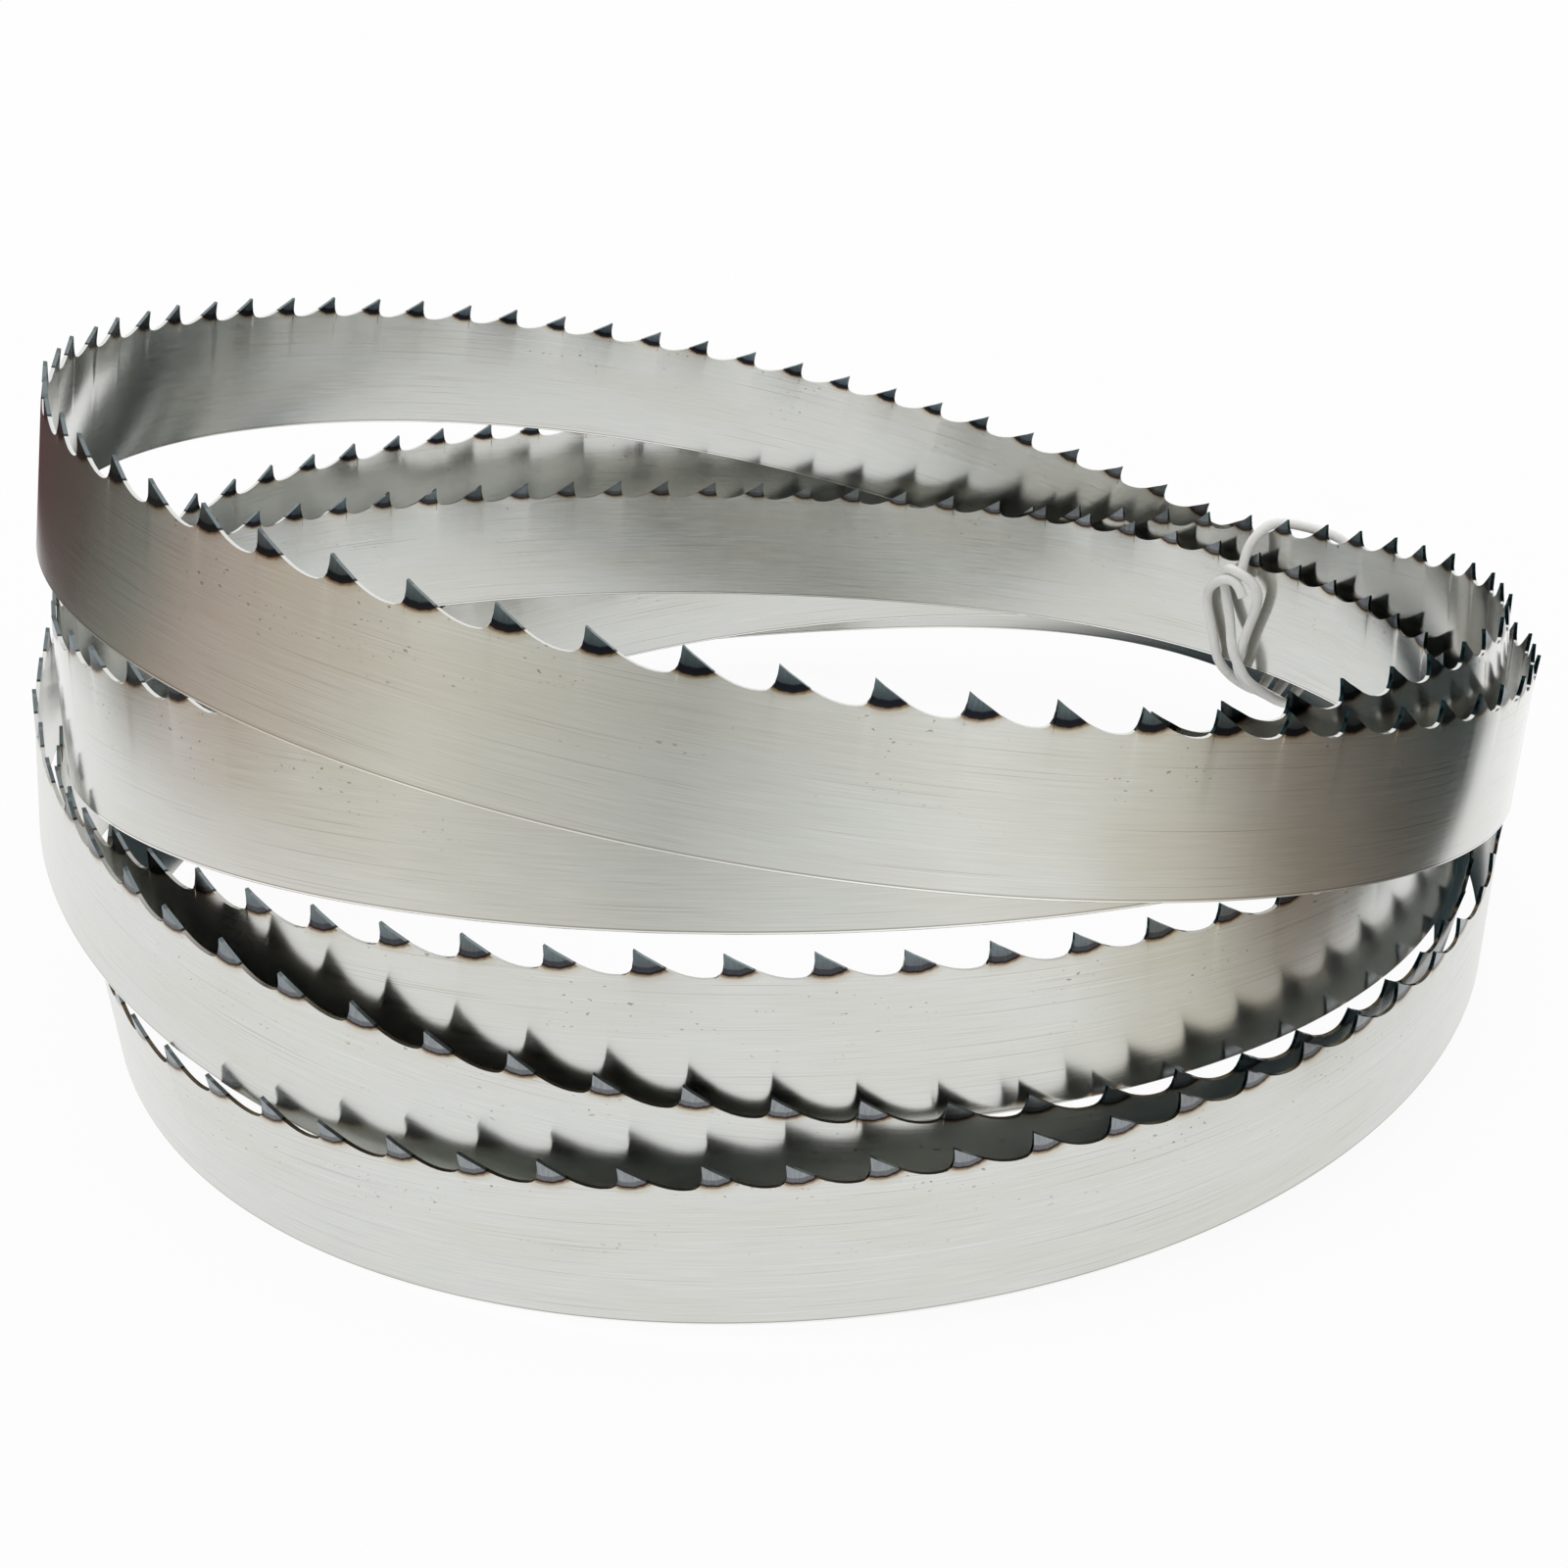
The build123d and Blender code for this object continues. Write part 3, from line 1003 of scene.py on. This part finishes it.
@dataclass(frozen=True)
class CoatedWire:
    """Soft white plastic over a thin wire."""

    name: str = "white_wire_coating"
    colour: tuple = (0.92, 0.92, 0.895, 1.0)
    roughness: float = 0.40
    grain_scale: float = 900.0
    grain_detail: float = 3.0
    shade_spread: float = 0.10
    shade_base: float = 0.95
    bump_strength: float = 0.15
    bump_height: float = 0.00005
    glow_share: float = 0.15
    glow_depth: float = 0.0008

    def build(self) -> bpy.types.Material:
        """Builds the material.

        Returns:
            The finished material.
        """
        material = bpy.data.materials.new(self.name)
        material.use_nodes = True
        graph = Graph(material.node_tree)
        place = graph.add("ShaderNodeTexCoord").outputs["Object"]
        grain = graph.noise(place, self.grain_scale, self.grain_detail)
        shade = graph.math("MULTIPLY_ADD", grain, self.shade_spread, self.shade_base)
        colour = graph.vector("SCALE", self.colour[:3], shade)
        relief = {"Strength": self.bump_strength, "Distance": self.bump_height, "Height": grain}
        bump = graph.add("ShaderNodeBump", relief)
        shader = graph.add(
            "ShaderNodeBsdfPrincipled",
            {
                "Base Color": colour,
                "Roughness": self.roughness,
                "Subsurface Weight": self.glow_share,
                "Subsurface Scale": self.glow_depth,
                "Normal": bump.outputs[0],
            },
        )
        graph.add("ShaderNodeOutputMaterial", {0: shader.outputs[0]})
        return material


@dataclass(frozen=True)
class Studio:
    """A plain pale floor and soft white light, and the room that the steel mirrors.

    The camera sees only white. The steel mirrors the pale table top near it and,
    past the table's edge, the darker things that stand round it.
    """

    floor_half: float = 3.0
    floor_colour: tuple = (0.88, 0.88, 0.88, 1.0)
    white: tuple = (1.0, 1.0, 1.0, 1.0)
    daylight: float = 0.95
    whitening: float = 0.93
    mirrored_glow: float = 0.82
    # Bearings in degrees from the camera's side, positive to the right.
    room: tuple = (
        (-152, (0.95, 0.95, 0.95)),
        (-141, (0.09, 0.045, 0.045)),
        (-110, (0.11, 0.09, 0.08)),
        (-97, (0.22, 0.22, 0.19)),
        (-82, (0.50, 0.41, 0.36)),
        (-68, (0.60, 0.53, 0.45)),
        (-45, (0.80, 0.77, 0.69)),
        (-12, (0.54, 0.54, 0.51)),
        (22, (0.95, 0.95, 0.92)),
        (44, (0.74, 0.71, 0.63)),
        (57, (0.30, 0.26, 0.22)),
        (72, (0.13, 0.12, 0.105)),
        (88, (0.055, 0.065, 0.062)),
        (110, (0.045, 0.06, 0.062)),
        (115, (0.95, 0.95, 0.95)),
    )
    # Painted shade for the floor under the turns, which only the steel's reflections see.
    gap_shade: tuple = (0.008, 0.022, 0.028, 1.0)
    shade_overhead: tuple = (0.15, 0.15, 0.145, 1.0)
    # The table's near edge: its direction, how far off it lies, and the bearings
    # in degrees between which it sets in.
    edge_way: tuple = (0.768, -0.640, 0.0)
    table_edge: tuple = (0.119, 0.125)
    edge_side: tuple = (26.0, 40.0)
    table_fade: tuple = (0.215, 0.30)
    # Painted shade: the ring of floor under the turns, dark where the steel mirrors it: where it sets in
    # and where it ends.
    coil_middle: tuple = (0.0027, -0.0013, 0.0)
    under_turns: tuple = (0.076, 0.083, 0.0915, 0.0932)
    # Over the room's tones the surround is pale, and shaded towards the camera.
    horizon: tuple = (0.10, 0.30)
    shaded_side: tuple = (0.0, 0.5)

    def bearing(self, graph: Graph, across, away) -> bpy.types.NodeSocket:
        """Works out a bearing in degrees from the camera's side."""
        angle = graph.math("ARCTAN2", across, graph.math("MULTIPLY", away, -1.0))
        return graph.math("MULTIPLY", angle, 180.0 / math.pi)

    def room_tone(self, graph: Graph, bearing) -> bpy.types.NodeSocket:
        """Gives the colour of what stands at a bearing."""
        place = graph.math("MULTIPLY_ADD", bearing, 1.0 / 360.0, 0.5)
        return graph.tones(place, tuple(((angle + 180) / 360, tone) for angle, tone in self.room))

    def floor(self) -> bpy.types.Object:
        """Lays the floor under the coil."""
        half = self.floor_half
        corners = [(-half, -half, 0.0), (half, -half, 0.0), (half, half, 0.0), (-half, half, 0.0)]
        mesh = bpy.data.meshes.new("floor")
        mesh.from_pydata(corners, [], [(0, 1, 2, 3)])
        material = bpy.data.materials.new("pale_floor")
        material.use_nodes = True
        graph = Graph(material.node_tree)
        place = graph.add("ShaderNodeTexCoord").outputs["Object"]
        split = graph.add("ShaderNodeSeparateXYZ", {0: place}).outputs
        reach = graph.add("ShaderNodeVectorMath", {0: place}, operation="LENGTH").outputs["Value"]
        bearing = self.bearing(graph, split[0], split[1])
        across = graph.add("ShaderNodeVectorMath", {0: place, 1: self.edge_way}, operation="DOT_PRODUCT")
        edge = graph.ramp(across.outputs["Value"], *self.table_edge)
        edge = graph.math("MULTIPLY", edge, graph.ramp(bearing, *self.edge_side))
        beyond = graph.math("MAXIMUM", edge, graph.ramp(reach, *self.table_fade))
        off = graph.vector("SUBTRACT", place, self.coil_middle)
        span = graph.add("ShaderNodeVectorMath", {0: off}, operation="LENGTH").outputs["Value"]
        # Painted shade: the ring of floor under the turns is dark for mirrored rays.
        shaded_ring = graph.math(
            "MULTIPLY",
            graph.ramp(span, *self.under_turns[:2]),
            graph.math("SUBTRACT", 1.0, graph.ramp(span, *self.under_turns[2:])),
        )
        mirrored = graph.mix_colour(beyond, self.white, self.room_tone(graph, bearing))
        mirrored = graph.mix_colour(shaded_ring, mirrored, self.gap_shade)
        path = graph.add("ShaderNodeLightPath").outputs
        tone = graph.mix_colour(path["Is Glossy Ray"], self.floor_colour, mirrored)
        paper = graph.add("ShaderNodeBsdfDiffuse", {"Color": tone}).outputs[0]
        glow = graph.mix_colour(path["Is Glossy Ray"], self.white, mirrored)
        white = graph.add("ShaderNodeEmission", {"Color": glow, "Strength": 1.0}).outputs[0]
        glossy = graph.math("MULTIPLY", path["Is Glossy Ray"], self.mirrored_glow)
        part = graph.math("MULTIPLY_ADD", path["Is Camera Ray"], self.whitening, glossy)
        blend = graph.add("ShaderNodeMixShader", {0: part, 1: paper, 2: white}).outputs[0]
        graph.add("ShaderNodeOutputMaterial", {0: blend})
        # The floor's own glow is not a lamp: only mirrored and camera rays meet it.
        material.cycles.emission_sampling = "NONE"
        mesh.materials.append(material)
        floor = link_object("floor", mesh)
        return floor

    def world(self) -> None:
        """Surrounds the scene with white, and with the room where steel mirrors it."""
        world = bpy.data.worlds.new("white_room")
        world.use_nodes = True
        graph = Graph(world.node_tree)
        way = graph.add("ShaderNodeTexCoord").outputs["Generated"]
        split = graph.add("ShaderNodeSeparateXYZ", {0: way}).outputs
        room = self.room_tone(graph, self.bearing(graph, split[0], split[1]))
        front = graph.ramp(graph.math("MULTIPLY", split[1], -1.0), *self.shaded_side)
        above = graph.mix_colour(front, self.white, self.shade_overhead)
        mirrored = graph.mix_colour(graph.ramp(split[2], *self.horizon), room, above)
        path = graph.add("ShaderNodeLightPath").outputs
        colour = graph.mix_colour(path["Is Glossy Ray"], self.white, mirrored)
        direct = graph.math("MAXIMUM", path["Is Camera Ray"], path["Is Glossy Ray"])
        strength = graph.math("MULTIPLY_ADD", direct, 1.0 - self.daylight, self.daylight)
        glow = graph.add("ShaderNodeBackground", {"Color": colour, "Strength": strength})
        graph.add("ShaderNodeOutputWorld", {0: glow.outputs[0]})
        # Lamp rays would see the plain white world where the steel mirrors the room.
        world.cycles.sampling_method = "NONE"
        bpy.context.scene.world = world

    def build(self) -> None:
        """Sets up the floor, the surround and the view."""
        self.floor()
        self.world()
        bpy.context.scene.view_settings.view_transform = "Standard"


def main() -> None:
    """Builds the camera, the band, the tie and the studio."""
    logging.basicConfig(level=logging.INFO, format="%(message)s")
    Photograph().build()
    route = BandRoute()
    band = BandBlade(route).build(BrushedSteel().build())
    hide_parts("blade")
    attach(band, BODY)
    wire = WireTie(route).build(CoatedWire().build())
    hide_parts("wire_tie")
    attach(wire, BODY)
    Studio().build()


if __name__ == "__main__":
    main()
